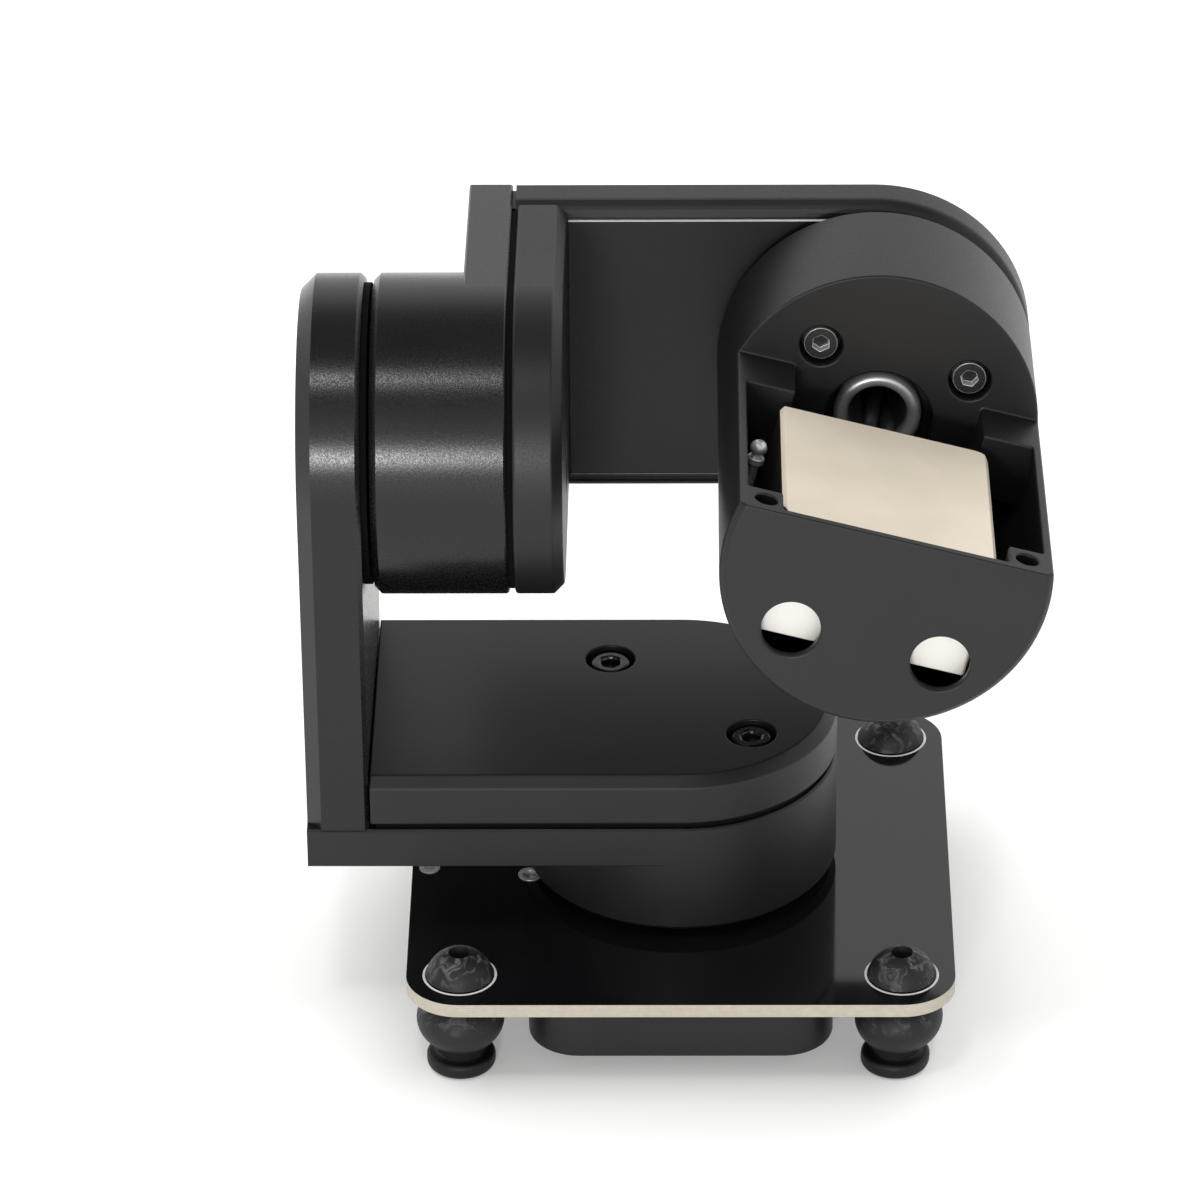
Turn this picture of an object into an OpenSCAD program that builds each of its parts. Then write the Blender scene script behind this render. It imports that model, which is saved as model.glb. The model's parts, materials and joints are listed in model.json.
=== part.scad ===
// Three-axis camera gimbal standing on its four rubber damping balls.
// Millimetres. The origin is on the yaw axis, on the plane of the damper feet. +Z is up, and the camera
// housing's closed end faces -Y. The rest pose has the roll arm and the housing turned a little.

/* [Base] */
// Side of the square base plate
plate_w = 74.6; // [72:0.2:90]
// Thickness of the base plate
plate_t = 2; // [1.6:0.1:2.6]
// Distance between neighbouring damping balls
damper_spacing = 60; // [58:1:62]
// Diameter of a damping ball's bulge
ball_d = 12; // [11:0.1:13]
// Height of a damping ball's bulge
ball_h = 9.1; // [8.6:0.1:9.8]
// Diameter of the heads at both ends of a damping ball
damper_head_d = 9.4; // [9:0.1:11]
// Height of the domed head above the plate
dome_h = 3.9; // [2.8:0.1:4.2]
// Length of the groove between the bulge and the foot
foot_groove = 1; // [0.6:0.1:2]
// Height of the foot under the groove
foot_h = 2.3; // [1.8:0.1:3]
// Diameter of the neck in the plate and in the groove
neck_d = 6.6; // [6:0.1:7]
// Diameter of the hole down a damping ball
damper_bore_d = 2.8; // [2:0.1:3]

/* [Controller] */
// Width of the controller case
case_w = 41.6; // [38:0.2:42]
// Length of the controller case
case_l = 66.5; // [62:0.5:70]
// Height of the controller case
case_h = 9.3; // [8:0.1:9.6]
// Wall and floor of the controller case
case_wall = 1.6; // [1.2:0.1:2]
// Radius of the case's upright corners
case_corner_r = 7; // [6.5:0.1:8]
// Thickness of the circuit board
board_t = 1.6; // [1:0.1:2]

/* [Motors] */
// Outer diameter of the motor cups, arms and camera housing
cup_d = 43.2; // [42.4:0.1:46]
// Wall of a motor cup
cup_wall = 2; // [1.6:0.1:2.2]
// Wall of the steel rotor bell in a cup
bell_wall = 1; // [0.8:0.1:1.2]
// Thickness of a magnet
magnet_t = 1.4; // [1.2:0.1:1.6]
// Number of magnets in a rotor
magnet_count = 14; // [10:2:16]
// Air gap between the magnets and the stator
air_gap = 0.4; // [0.35:0.05:0.6]
// Number of stator teeth
tooth_count = 12; // [9:3:12]
// Outer diameter of the hollow motor shafts
shaft_d = 12; // [11:0.1:12.4]
// Bore of the hollow motor shafts
shaft_bore_d = 9.2; // [8:0.1:9.6]
// Outer diameter of the shaft bearings
bearing_d = 18; // [17:0.1:18.4]
// Width of a shaft bearing
bearing_w = 4; // [3:0.1:4]
// Gap between a cup's rim and the face it turns over
rim_gap = 1.25; // [0.8:0.05:1.6]
// Room inside the yaw motor, from its seat to the floor of its cup
yaw_room = 11.95; // [11.6:0.05:13]
// Room inside the roll motor
roll_room = 13.3; // [12:0.1:15]
// Room inside the pitch motor
pitch_room = 17; // [14:0.1:18]

/* [Arms] */
// Thickness of the plate that leads from a cup
arm_plate_t = 5.95; // [5:0.05:7]
// Open seam between an arm's plate and its cover
seam_gap = 0.8; // [0.4:0.05:1.2]
// Bevel of the edges along the seam
seam_bevel = 0.3; // [0.2:0.05:0.9]
// Thickness of the yaw cover
yaw_cover_t = 7.2; // [6.5:0.05:8.5]
// Thickness of the roll cover
roll_cover_t = 6.65; // [6.5:0.05:8.5]
// Bevel round the face of an arm cover
cover_bevel = 1.4; // [1:0.1:1.8]
// Thickness of the upright arm and of the back arm
arm_t = 8.5; // [8:0.1:10]
// Bevel round the outer face of those arms
arm_bevel = 2; // [1.6:0.1:2.6]
// Distance from the yaw axis to the outer face of the upright arm
yaw_reach = 50.65; // [50:0.05:54]
// Height of the roll axis above the base plate
roll_height = 67.6; // [67:0.1:76]
// Distance from the roll axis to the rear face of the back arm
roll_reach = 35.9; // [35:0.1:36]
// Distance of the pitch axis from the yaw axis
pitch_offset = 26.7; // [26:0.1:32]
// Rounding of the back arm's front edges
arm_round = 2; // [1.8:0.1:2.4]
// Thickness of the panel let into the back arm
panel_t = 2.2; // [2:0.1:2.6]
// Height of the panel above the back arm's front face
panel_proud = 0.4; // [0.3:0.05:0.6]

/* [Camera housing] */
// Length of the housing, from the cup's rim to the closed end
housing_l = 69.1; // [66:0.1:76]
// Length of the closed cup at the back of the housing
housing_cup_l = 22.35; // [22:0.05:26]
// Height of the open bay's rim above the pitch axis
rim_h = 5.5; // [5:0.1:7]
// Side wall of the bay
bay_wall = 1.15; // [1:0.05:1.6]
// Wall of the closed end
end_wall = 1.5; // [1.2:0.1:1.6]
// Diameter of the two windows in the closed end
window_d = 7.8; // [6:0.1:8.4]
// Distance of a window from the pitch axis, across the housing
window_x = 10; // [9:0.1:10.5]
// Depth of the windows below the pitch axis
window_drop = 10.4; // [9:0.1:11]
// Width of the camera block
block_w = 28.7; // [24:0.1:28.8]
// Offset of the camera block to the left of the pitch axis
block_offset = 0.4; // [0:0.1:0.6]
// Length of the camera block
block_l = 33.5; // [28:0.1:34]
// Height of the camera block
block_h = 16.6; // [12:0.1:16.6]
// Height of the camera block's top above the pitch axis
block_top = 4; // [3.8:0.1:4.6]

/* [Fasteners] */
// Radius of the circle of the cup screws
cup_screw_circle = 13.7; // [13:0.1:13.8]
// Thread diameter of the cup screws
cup_screw_d = 3; // [2.5:0.1:3]
// Thread diameter of the housing screws
housing_screw_d = 2.5; // [2:0.1:3]
// Thread diameter of the hub and case screws
hub_screw_d = 2; // [1.6:0.1:2.2]

/* [Rest pose] */
// Tilt of the roll arm at rest
roll_rest = 4.5; // [0:0.5:8]
// Turn of the camera housing at rest
pitch_rest = 14.6; // [0:0.2:20]

/* [Hidden] */
$fn = 96;
// Radial play of parts that are pressed or screwed together
fit = 0.02;
// Radial play of a shaft in its bearings
running = 0.05;
// Overshoot of a cut past the face that it opens
over = 0.5;

plate_z = foot_h + foot_groove + ball_h;
deck_z = plate_z + plate_t;
damper_hole_d = neck_d + 0.2;
damper_places = [[-1, -1], [1, -1], [-1, 1], [1, 1]];

cup_r = cup_d / 2;
bell_r = cup_r - cup_wall;
magnet_r = bell_r - bell_wall;
stator_r = magnet_r - magnet_t - air_gap;
shaft_r = shaft_d / 2;
shaft_bore_r = shaft_bore_d / 2;
bearing_r = bearing_d / 2;
hub_r = bearing_r + 1.4;
hub_flange_r = hub_r + 3.6;
hub_flange_t = 1.4;
// A broad foot fills the gap under the roll cup, clear of the rim that turns over it
roll_foot_r = cup_r - 1.3;
hub_foot_t = rim_gap - 0.4;
hub_screw_circle = (hub_r + hub_flange_r) / 2;
hub_screw_head_d = 2 * hub_screw_d;
hub_screw_head_h = 0.7 * hub_screw_d;
bearing_lift = 1;
hub_top_gap = 0.9;
bell_floor_t = 1.4;
collar_gap = 0.3;
core_yoke_t = 0.32 * (stator_r - hub_r);
tooth_w = 1.8;
tooth_tip_t = 0.145 * (stator_r - hub_r);
coil_w = 4.6;
coil_end = 1.2;

arm_top_z = yaw_room + arm_plate_t;
upright_inner_x = -(yaw_reach - arm_t);
back_front_y = roll_reach - arm_t;
spacer_inset = 0.7;
cover_pocket_margin = 4;
butt_gap = 0.15;
butt_seam = 0.5;
butt_seam_depth = 1.2;
plate_edge_bevel = 0.25;
inner_edge_bevel = 0.6;
channel_w = 8;
channel_depth = 2.4;
cable_way_d = 6;
seat_screw_sink = 2;
seat_web = 2;
cup_edge_bevel = 0.9;
panel_margin = arm_round + 0.3;
panel_bevel = 0.15;
panel_play = 0.1;

head_ratio = 1.8;
head_d = head_ratio * cup_screw_d;
head_h = cup_screw_d;
key_ratio = 0.96;
counterbore_ratio = 2.3;
counterbore_depth = 1.15 * cup_screw_d;
housing_spread = 41;

roll_seat_to_arm = roll_room + arm_plate_t;
roll_arm_face_x = upright_inner_x + roll_seat_to_arm;
roll_cover_face_x = roll_arm_face_x + seam_gap + roll_cover_t;
pitch_rim_gap = panel_proud + rim_gap + 0.35;
disc_z = pitch_rim_gap + housing_cup_l;
end_z = pitch_rim_gap + housing_l;
bay_r = cup_r - bay_wall;
block_end_gap = 1.2;
block_z = end_z - end_wall - block_end_gap - block_l;
block_floor = block_top - block_h;
shaft_recess = 2.3;
shaft_stand = 1.6;
shaft_recess_r = shaft_r + 1.4;

black_metal = "#2b2b2d";
black_rubber = "#1b1b1c";
board_black = "#101012";
steel = "#b9bbbd";
dark_steel = "#4a4b4e";
copper = "#b06a35";
magnet_grey = "#7c7e82";
champagne = "#d8ccb8";

// Frames of the three motors: each has its seat at z = 0 and its axis along z.
module on_yaw() {
    translate([0, 0, deck_z]) children();
}

module on_roll_axis() {
    translate([0, 0, deck_z + roll_height]) children();
}

// The roll motor's seat before the roll arm is turned
module on_upright() {
    on_roll_axis()
        translate([upright_inner_x, 0, 0]) rotate([-90, 0, 0]) rotate([0, 90, 0]) children();
}

module on_roll() {
    on_roll_axis()
        translate([upright_inner_x, 0, 0]) rotate([-90 - roll_rest, 0, 0]) rotate([0, 90, 0]) children();
}

module on_back_arm() {
    on_roll_axis()
        rotate([-roll_rest, 0, 0]) translate([pitch_offset, back_front_y, 0]) rotate([90, 0, 0]) children();
}

module on_pitch() {
    on_back_arm() rotate([0, 0, -pitch_rest]) children();
}

// General shapes
module tube(r_out, r_in, h) {
    difference() {
        cylinder(r = r_out, h = h);
        translate([0, 0, -over]) cylinder(r = r_in, h = h + 2 * over);
    }
}

module rounded_rect(w, l, r) {
    square([w - 2 * r, l], center = true);
    square([w, l - 2 * r], center = true);
    for (sx = [-1, 1])
        for (sy = [-1, 1])
            translate([sx * (w / 2 - r), sy * (l / 2 - r)]) circle(r);
}

// Four screws on the circle, each at the same angle from the x axis
module at_screws(spread) {
    for (a = [spread, 180 - spread, 180 + spread, -spread])
        rotate(a) translate([cup_screw_circle, 0, 0]) children();
}

module around(count, r, start = 0) {
    for (i = [0 : count - 1])
        rotate(start + i * 360 / count) translate([r, 0, 0]) children();
}

// Points of an arc, both ends included
function arc(centre, r, from, to, steps) =
    [for (i = [0 : steps]) let (a = from + (to - from) * i / steps) centre + r * [cos(a), sin(a)]];

// Half profile of a plate from its axis to its edge, with its lower and upper edges cut off
function plate_half(r, t, low, high) =
    [[0, 0], [r - low, 0], [r, low], [r, t - high], [r - high, t], [0, t]];

// A profile mirrored about the y axis
function both_sides(half) =
    concat(half, [for (i = [len(half) - 1 : -1 : 0]) if (half[i][0] > 0) [-half[i][0], half[i][1]]]);

// A plate with one round end about the z axis, that runs along -x to its square end
module tongue(half, reach) {
    rotate_extrude() polygon(half);
    rotate([0, -90, 0]) rotate(-90) linear_extrude(reach) polygon(both_sides(half));
}

module socket_screw(shank_l, d = cup_screw_d) {
    difference() {
        union() {
            cylinder(d = head_ratio * d, h = d);
            translate([0, 0, -shank_l]) cylinder(d = d, h = shank_l + fit);
        }
        translate([0, 0, d / 2]) cylinder(d = key_ratio * d, h = d, $fn = 6);
    }
}

module button_screw(shank_l) {
    difference() {
        union() {
            cylinder(d = hub_screw_head_d, h = hub_screw_head_h);
            translate([0, 0, -shank_l]) cylinder(d = hub_screw_d, h = shank_l + fit);
        }
        translate([0, 0, hub_screw_head_h / 2])
            cylinder(d = 0.7 * hub_screw_d, h = hub_screw_head_h, $fn = 6);
    }
}

// Motor pieces, drawn on the motor's seat
module stator_hub(room, foot_r = hub_flange_r) {
    hub_h = room - bell_floor_t - hub_top_gap;
    difference() {
        union() {
            cylinder(r = foot_r, h = hub_foot_t);
            cylinder(r = hub_flange_r, h = hub_flange_t);
            cylinder(r = hub_r, h = hub_h);
        }
        translate([0, 0, -over]) cylinder(r = bearing_r - 1, h = hub_h + 2 * over);
        translate([0, 0, -over]) cylinder(r = bearing_r, h = over + bearing_lift + bearing_w);
        translate([0, 0, hub_h - bearing_w]) cylinder(r = bearing_r, h = bearing_w + over);
        around(4, hub_screw_circle)
            translate([0, 0, -over]) cylinder(d = hub_screw_d + 2 * fit, h = hub_flange_t + 2 * over);
    }
}

module stator_core(room) {
    stack_h = room - bell_floor_t - hub_flange_t - 2 * coil_end - 2 * hub_top_gap;
    tip_deg = 0.72 * 360 / tooth_count;
    yoke_r = hub_r + core_yoke_t;
    translate([0, 0, hub_flange_t + coil_end + hub_top_gap]) linear_extrude(stack_h) {
        difference() {
            circle(yoke_r);
            circle(hub_r + fit);
        }
        around(tooth_count, 0)
            translate([hub_r + core_yoke_t / 2, -tooth_w / 2])
                square([stator_r - tooth_tip_t / 2 - hub_r - core_yoke_t / 2, tooth_w]);
        around(tooth_count, 0) intersection() {
            difference() {
                circle(stator_r);
                circle(stator_r - tooth_tip_t);
            }
            polygon([[0, 0], 2 * stator_r * [1, tan(tip_deg / 2)], 2 * stator_r * [1, -tan(tip_deg / 2)]]);
        }
    }
}

module windings(room) {
    coil_h = room - bell_floor_t - hub_flange_t - 2 * hub_top_gap;
    stack_h = coil_h - 2 * coil_end;
    inner_r = hub_r + core_yoke_t + 0.25;
    coil_l = stator_r - tooth_tip_t - 0.25 - inner_r;
    around(tooth_count, inner_r) translate([0, 0, hub_flange_t + hub_top_gap]) difference() {
        translate([0, -coil_w / 2, 0]) cube([coil_l, coil_w, coil_h]);
        translate([-over, -tooth_w / 2 - fit, coil_end - fit])
            cube([coil_l + 2 * over, tooth_w + 2 * fit, stack_h + 2 * fit]);
    }
}

module bearings(room) {
    hub_h = room - bell_floor_t - hub_top_gap;
    for (z = [bearing_lift, hub_h - bearing_w])
        translate([0, 0, z]) tube(bearing_r - fit, shaft_r + running, bearing_w);
}

// Hub screws come through the seat from its far side
module hub_screws(seat_t, sink) {
    around(4, hub_screw_circle)
        translate([0, 0, sink - seat_t]) mirror([0, 0, 1]) button_screw(seat_t - sink + hub_flange_t);
}

module hub_screw_holes(seat_t, sink) {
    around(4, hub_screw_circle) {
        translate([0, 0, -seat_t - over]) cylinder(d = hub_screw_d + 2 * fit, h = seat_t + 2 * over);
        translate([0, 0, -seat_t - over]) cylinder(d = hub_screw_head_d + 0.4, h = sink + over);
    }
}

module rotor_bell(room, lip, screw_d = cup_screw_d, spread = 45) {
    difference() {
        translate([0, 0, lip]) cylinder(r = bell_r - fit, h = room - lip);
        translate([0, 0, lip - over]) cylinder(r = magnet_r, h = room - lip - bell_floor_t + over);
        translate([0, 0, lip]) cylinder(r = shaft_r + fit, h = room);
        at_screws(spread)
            translate([0, 0, lip]) cylinder(d = screw_d + 2 * fit, h = room);
    }
}

module magnets(room) {
    magnet_z = hub_flange_t + hub_top_gap;
    magnet_l = room - bell_floor_t - magnet_z - fit;
    slot = 0.6;
    difference() {
        translate([0, 0, magnet_z]) tube(magnet_r - fit, magnet_r - magnet_t, magnet_l);
        around(magnet_count, 0)
            translate([magnet_r - 2 * magnet_t, -slot / 2, 0]) cube([3 * magnet_t, slot, room]);
    }
}

// The collar seats on the bell's floor and keeps the upper bearing in place
module motor_shaft(room, top_z) {
    low_z = 0.6;
    hub_h = room - bell_floor_t - hub_top_gap;
    difference() {
        union() {
            translate([0, 0, low_z]) cylinder(r = shaft_r, h = top_z - low_z);
            translate([0, 0, hub_h + collar_gap]) cylinder(r = shaft_r + 0.9, h = hub_top_gap - collar_gap);
        }
        translate([0, 0, low_z - over]) cylinder(r = shaft_bore_r, h = top_z - low_z + 2 * over);
    }
}

// A motor cup with the plate that leads from it along -x
module rotor_arm(room, reach) {
    top_z = room + arm_plate_t;
    difference() {
        union() {
            translate([0, 0, room])
                tongue(plate_half(cup_r, arm_plate_t, plate_edge_bevel, seam_bevel), reach);
            translate([0, 0, rim_gap]) rotate_extrude()
                polygon(plate_half(cup_r, top_z - rim_gap, cup_edge_bevel, seam_bevel));
        }
        translate([0, 0, rim_gap - over]) cylinder(r = bell_r, h = room - rim_gap + over);
        translate([0, 0, room - over]) cylinder(r = shaft_r + fit, h = arm_plate_t + 2 * over);
        around(2, cup_screw_circle, 135)
            translate([0, 0, room - over]) cylinder(d = cup_screw_d + 2 * fit, h = arm_plate_t + 2 * over);
        translate([-reach + arm_t, -channel_w / 2, top_z - channel_depth])
            cube([reach - arm_t, channel_w, channel_depth + over]);
    }
}

// Room for the cables between an arm's plate and its cover
module cover_pocket(seat_z, length) {
    pocket_r = shaft_r + 1.5;
    pocket_depth = 2.6;
    translate([0, 0, seat_z - over])
        tongue(plate_half(pocket_r, pocket_depth + over, 0, 0), length - cover_pocket_margin);
}

// A thin plate sets the cover off its arm, and leaves the seam open all round
module arm_spacer(room, reach) {
    seat_z = room + arm_plate_t;
    length = reach - arm_t - butt_gap;
    difference() {
        translate([0, 0, seat_z])
            tongue(plate_half(cup_r - spacer_inset, seam_gap, 0, 0), length - spacer_inset);
        cover_pocket(seat_z, length);
        around(2, cup_screw_circle, 135)
            translate([0, 0, seat_z - over]) cylinder(d = cup_screw_d + 0.3, h = seam_gap + 2 * over);
    }
}

module arm_cover(room, reach, cover_t) {
    seat_z = room + arm_plate_t;
    face_z = seat_z + seam_gap + cover_t;
    length = reach - arm_t - butt_gap;
    difference() {
        translate([0, 0, seat_z + seam_gap])
            tongue(plate_half(cup_r, cover_t, seam_bevel, cover_bevel), length);
        cover_pocket(seat_z, length);
        around(2, cup_screw_circle, 135) {
            translate([0, 0, seat_z - over]) cylinder(d = cup_screw_d + 0.3, h = face_z);
            translate([0, 0, face_z - counterbore_depth])
                cylinder(d = counterbore_ratio * cup_screw_d, h = face_z);
        }
    }
}

module cover_screws(room, cover_t) {
    head_z = room + arm_plate_t + seam_gap + cover_t - counterbore_depth;
    around(2, cup_screw_circle, 135)
        translate([0, 0, head_z]) rotate(20) socket_screw(head_z - room + bell_floor_t);
}

// Base pieces
module base_plate() {
    color(board_black) translate([0, 0, plate_z]) difference() {
        linear_extrude(plate_t) rounded_rect(plate_w, plate_w, (plate_w - damper_spacing) / 2);
        for (p = damper_places)
            translate([p[0] * damper_spacing / 2, p[1] * damper_spacing / 2, -over])
                cylinder(d = damper_hole_d, h = plate_t + 2 * over);
        translate([0, 0, -over]) cylinder(r = shaft_bore_r, h = plate_t + 2 * over);
        translate([0, 0, plate_t]) hub_screw_holes(plate_t, 0);
        for (p = case_screw_places())
            translate([p[0], p[1], -over]) cylinder(d = hub_screw_d + 2 * fit, h = case_screw_bite + over);
        for (e = eyelets)
            translate([e[0], e[1], -over]) cylinder(r = e[2], h = plate_t + 2 * over);
    }
}

// Each eyelet's place and hole radius
eyelets = [[-plate_w / 2 + 2.4, -3.7, 1.1], [-cup_r + 0.7, -5.4, 1.3]];
eyelet_wall = 0.3;
eyelet_flange = 0.35;
eyelet_flange_t = 0.15;

module plate_eyelets() {
    color(steel) for (e = eyelets) translate([e[0], e[1], plate_z]) {
        tube(e[2] - fit, e[2] - eyelet_wall, plate_t);
        translate([0, 0, plate_t]) tube(e[2] + eyelet_flange, e[2] - eyelet_wall, eyelet_flange_t);
    }
}

// A damping ball from its foot, through the plate, to its dome
module damper(place) {
    neck_r = neck_d / 2;
    bore_r = damper_bore_d / 2;
    head_r = damper_head_d / 2;
    foot_r = head_r;
    bulge_z = foot_h + foot_groove;
    bulge_half = ball_h / 2;
    bulge_a = acos(neck_d / ball_d);
    dome_r = (head_r * head_r + dome_h * dome_h) / (2 * dome_h);
    dome_from = asin((dome_r - dome_h) / dome_r);
    dome_to = acos(bore_r / dome_r);
    foot_round = 0.7;
    outline = concat(
        [[bore_r, 0], [foot_r - foot_round, 0]],
        arc([foot_r - foot_round, foot_round], foot_round, -90, 0, 4),
        [[foot_r, foot_h - foot_round]],
        arc([foot_r - foot_round, foot_h - foot_round], foot_round, 0, 90, 4),
        [[neck_r, foot_h], [neck_r, bulge_z]],
        [for (p = arc([0, 0], 1, -bulge_a, bulge_a, 16))
            [p[0] * ball_d / 2, bulge_z + bulge_half * (1 + p[1])]],
        [[neck_r, plate_z], [neck_r, deck_z]],
        arc([0, deck_z + dome_h - dome_r], dome_r, dome_from, dome_to, 10));
    color(black_rubber)
        translate([place[0] * damper_spacing / 2, place[1] * damper_spacing / 2, 0])
            rotate_extrude() polygon(outline);
}

module damper_front_left() damper(damper_places[0]);
module damper_front_right() damper(damper_places[1]);
module damper_rear_left() damper(damper_places[2]);
module damper_rear_right() damper(damper_places[3]);

case_boss_r = hub_screw_d + 1;
function case_screw_places() =
    [for (p = damper_places)
        [p[0] * (case_w / 2 - case_wall - case_boss_r + 0.4), p[1] * (case_l / 2 - case_corner_r + 1)]];
case_sink = hub_screw_head_h + 0.2;
case_screw_bite = 0.7 * plate_t;
board_lift = case_wall + 1.6;
board_w = case_w - 2 * case_wall - 2;
board_l = case_l - 2 * case_corner_r - 2 * case_boss_r - 1;

module controller_case() {
    post_r = 1.8;
    slot_w = 12;
    slot_h = 3.5;
    color(black_metal) translate([0, 0, plate_z - case_h]) difference() {
        union() {
            difference() {
                linear_extrude(case_h) rounded_rect(case_w, case_l, case_corner_r);
                translate([0, 0, case_wall]) linear_extrude(case_h)
                    rounded_rect(case_w - 2 * case_wall, case_l - 2 * case_wall, case_corner_r - case_wall);
            }
            for (p = case_screw_places())
                translate([p[0], p[1], 0]) cylinder(r = case_boss_r, h = case_h);
            for (p = damper_places)
                translate([p[0] * (board_w / 2 - post_r), p[1] * (board_l / 2 - post_r), case_wall - fit])
                    cylinder(r = post_r, h = board_lift - case_wall + fit);
        }
        for (p = case_screw_places()) translate([p[0], p[1], -over]) {
            cylinder(d = hub_screw_d + 2 * fit, h = case_h + 2 * over);
            cylinder(d = hub_screw_head_d + 0.4, h = case_sink + over);
        }
        translate([-slot_w / 2, case_l / 2 - case_wall - over, case_h - slot_h])
            cube([slot_w, case_wall + 2 * over, slot_h + over]);
    }
}

module controller_board() {
    chip_h = 1.2;
    plug_h = 2.4;
    chip_w = 0.28 * board_w;
    side_chip_w = 0.17 * board_w;
    plug_w = 0.18 * board_w;
    plug_l = 4;
    color("#1f4a33") translate([0, 0, plate_z - case_h + board_lift]) {
        translate([-board_w / 2, -board_l / 2, 0]) cube([board_w, board_l, board_t]);
        translate([-chip_w / 2, -board_l / 4 - chip_w / 2, board_t - fit]) cube([chip_w, chip_w, chip_h]);
        for (s = [-1, 1])
            translate([s * board_w / 3 - side_chip_w / 2, 0, board_t - fit])
                cube([side_chip_w, side_chip_w, chip_h]);
        for (s = [-1, 0, 1])
            translate([s * board_w / 4 - plug_w / 2, board_l / 2 - 2 * plug_l, board_t - fit])
                cube([plug_w, plug_l, plug_h]);
    }
}

module case_screws() {
    shank_l = case_h + case_screw_bite - case_sink - 0.1;
    color(dark_steel) for (p = case_screw_places())
        translate([p[0], p[1], plate_z - case_h + case_sink]) mirror([0, 0, 1]) button_screw(shank_l);
}

// Yaw motor
module yaw_stator_hub() color(steel) on_yaw() stator_hub(yaw_room);
module yaw_stator_core() color(dark_steel) on_yaw() stator_core(yaw_room);
module yaw_windings() color(copper) on_yaw() windings(yaw_room);
module yaw_bearings() color(steel) on_yaw() bearings(yaw_room);
module yaw_hub_screws() color(dark_steel) on_yaw() hub_screws(plate_t, 0);
module yaw_rotor_bell() color(steel) on_yaw() rotor_bell(yaw_room, bell_lip());
module yaw_magnets() color(magnet_grey) on_yaw() magnets(yaw_room);
module yaw_shaft() color(steel) on_yaw() motor_shaft(yaw_room, arm_top_z - 0.2);
bell_sink = 0.6;
function bell_lip() = rim_gap + bell_sink;

// Yaw arm
arm_screw_y = 0.65 * cup_r;
arm_screw_x = -(yaw_reach - arm_t / 2);
arm_screw_sink = head_h + 0.2;
arm_screw_bite = 7;
arm_screw_hole_depth = arm_screw_bite + 1;

module arm_screw_places(x) {
    for (s = [-1, 1])
        translate([x, s * arm_screw_y, 0]) children();
}

module arm_screw_holes(room) {
    arm_screw_places(0) {
        translate([0, 0, room - over]) cylinder(d = cup_screw_d + 0.2, h = arm_plate_t + 2 * over);
        translate([0, 0, room - over]) cylinder(d = head_d + 0.5, h = arm_screw_sink + over);
    }
}

module arm_screws(room) {
    arm_screw_places(0)
        translate([0, 0, room + arm_screw_sink]) mirror([0, 0, 1])
            socket_screw(arm_plate_t - arm_screw_sink + arm_screw_bite);
}

module yaw_arm() {
    color(black_metal) on_yaw() difference() {
        rotor_arm(yaw_room, yaw_reach);
        translate([arm_screw_x, 0, 0]) arm_screw_holes(yaw_room);
        cable_drop(yaw_room, arm_screw_x);
    }
}

// Where the cables pass from an arm's channel into the next arm
module cable_drop(room, x) {
    translate([x, 0, room + arm_plate_t - channel_depth]) {
        cylinder(d = cable_way_d, h = channel_depth + over);
        translate([0, -cable_way_d / 2, 0]) cube([arm_t / 2 + over, cable_way_d, channel_depth + over]);
    }
}

module yaw_spacer() color(dark_steel) on_yaw() arm_spacer(yaw_room, yaw_reach);
module yaw_cover() color(black_metal) on_yaw() arm_cover(yaw_room, yaw_reach, yaw_cover_t);
module yaw_cover_screws() color(dark_steel) on_yaw() cover_screws(yaw_room, yaw_cover_t);

// Upright arm, drawn on the roll motor's seat with its foot along +y
module upright_arm() {
    foot_y = roll_height - arm_top_z;
    edge = [
        [0, -arm_t], [cup_r - arm_bevel, -arm_t], [cup_r, arm_bevel - arm_t],
        [cup_r, -inner_edge_bevel], [cup_r - inner_edge_bevel, 0], [0, 0]];
    color(black_metal) on_upright() difference() {
        rotate(-90) tongue(edge, foot_y);
        hub_screw_holes(arm_t, seat_screw_sink);
        translate([0, 0, seat_web - arm_t]) cylinder(r = shaft_bore_r, h = arm_t);
        translate([0, 0, -arm_t / 2]) rotate([-90, 0, 0]) cylinder(d = cable_way_d, h = foot_y + over);
        for (s = [-1, 1])
            translate([s * arm_screw_y, foot_y - arm_screw_hole_depth, -arm_t / 2])
                rotate([-90, 0, 0]) cylinder(d = cup_screw_d + 2 * fit, h = arm_screw_hole_depth + over);
    }
}

module upright_arm_screws() {
    color(dark_steel) on_yaw() translate([arm_screw_x, 0, 0]) arm_screws(yaw_room);
}

// Roll motor
module roll_stator_hub() color(steel) on_upright() stator_hub(roll_room, roll_foot_r);
module roll_stator_core() color(dark_steel) on_upright() stator_core(roll_room);
module roll_windings() color(copper) on_upright() windings(roll_room);
module roll_bearings() color(steel) on_upright() bearings(roll_room);
module roll_hub_screws() color(dark_steel) on_upright() hub_screws(arm_t, seat_screw_sink);
module roll_rotor_bell() color(steel) on_roll() rotor_bell(roll_room, bell_lip());
module roll_magnets() color(magnet_grey) on_roll() magnets(roll_room);
module roll_shaft() color(steel) on_roll() motor_shaft(roll_room, roll_seat_to_arm - 0.2);

// Roll arm
roll_screw_x = -(roll_reach - arm_t / 2);
roll_end_bevel = 0.9 * arm_bevel * sqrt(2);

module roll_arm() {
    color(black_metal) on_roll() difference() {
        rotor_arm(roll_room, roll_reach);
        translate([roll_screw_x, 0, 0]) arm_screw_holes(roll_room);
        cable_drop(roll_room, roll_screw_x);
        for (s = [-1, 1])
            translate([-roll_reach, s * cup_r, roll_room + arm_plate_t / 2])
                rotate(45) cube([roll_end_bevel, roll_end_bevel, 2 * arm_plate_t], center = true);
    }
}

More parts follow.
